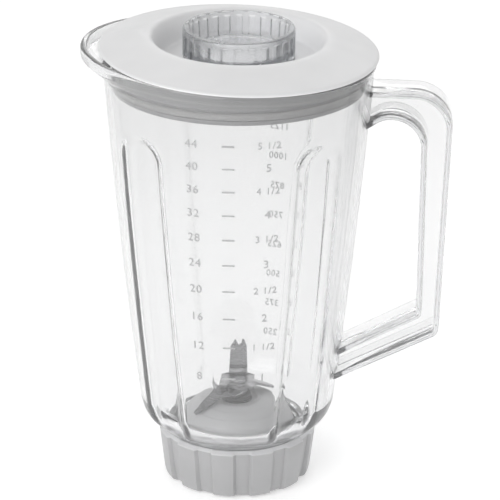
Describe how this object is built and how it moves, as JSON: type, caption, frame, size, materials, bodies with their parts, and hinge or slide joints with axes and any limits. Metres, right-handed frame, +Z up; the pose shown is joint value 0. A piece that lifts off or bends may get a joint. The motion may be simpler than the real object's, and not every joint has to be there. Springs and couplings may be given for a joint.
{
  "type": "blender jar",
  "caption": "Clear fluted blender jar with handle and spout, white lid with a clear ribbed filler cap, and a white screw collar holding the blade unit.",
  "frame": {"origin": "centre of the whole object's footprint box, on the plane the collar stands on; the jar's axis is at x = -13.1 mm", "axes": "+Z up along the jar's axis, +X towards the handle, -X towards the spout, -Y towards the measuring scale"},
  "size_m": [0.1731, 0.13, 0.2246],
  "materials": {
    "jar": "clear, glossy",
    "lid": "white, satin",
    "lid_seal": "pale, matt",
    "filler_cap": "clear, glossy",
    "collar": "white, satin",
    "jar_gasket": "pale, matt",
    "blade_base": "white, satin",
    "bearing": "moulded, filled nylon",
    "bush": "sintered",
    "black_rubber": "matt",
    "plated_steel": "zinc plated",
    "blade_steel": "ground and polished",
    "coupling": "moulded, filled nylon"
  },
  "bodies": {
    "jar": {"jar": "jar", "handle": "jar"},
    "lid": {"lid": "lid", "lid_seal": "lid_seal"},
    "filler_cap": {"filler_cap": "filler_cap", "cap_seal": "lid_seal"},
    "blade_unit": {"blade_base": "blade_base", "jar_gasket": "jar_gasket", "housing_gasket": "black_rubber", "bearing_housing": "bearing", "housing_nut": "plated_steel", "upper_bush": "bush", "lower_bush": "bush", "shaft_seal": "black_rubber"},
    "collar": {"collar": "collar"},
    "spindle": {"blade_shaft": "blade_steel", "thrust_washer": "plated_steel", "lower_blade": "blade_steel", "upper_blade": "blade_steel", "blade_washer": "blade_steel", "lower_washer": "plated_steel", "retaining_clip": "plated_steel", "drive_coupling": "coupling"}
  },
  "joints": [
    {"name": "lid_lift", "type": "slide", "parent": "jar", "child": "lid", "axis": [0, 0, 1], "range_m": [0, 0.06]},
    {"name": "cap_lift", "type": "slide", "parent": "lid", "child": "filler_cap", "axis": [0, 0, 1], "range_m": [0, 0.05]},
    {"name": "blade_unit_drop", "type": "slide", "parent": "jar", "child": "blade_unit", "axis": [0, 0, -1], "range_m": [0, 0.0101]},
    {"name": "collar_turn", "type": "hinge", "parent": "blade_unit", "child": "collar", "pos_m": [-0.0131, 0, 0], "axis": [0, 0, -1], "range_deg": [0, 720]},
    {"name": "blade_spin", "type": "hinge", "parent": "blade_unit", "child": "spindle", "pos_m": [-0.0131, 0, 0], "axis": [0, 0, 1], "continuous": true}
  ],
  "couplings": [
    {"joint": "blade_unit_drop", "follows": "collar_turn", "m_per_rad": 0.00079577}
  ]
}
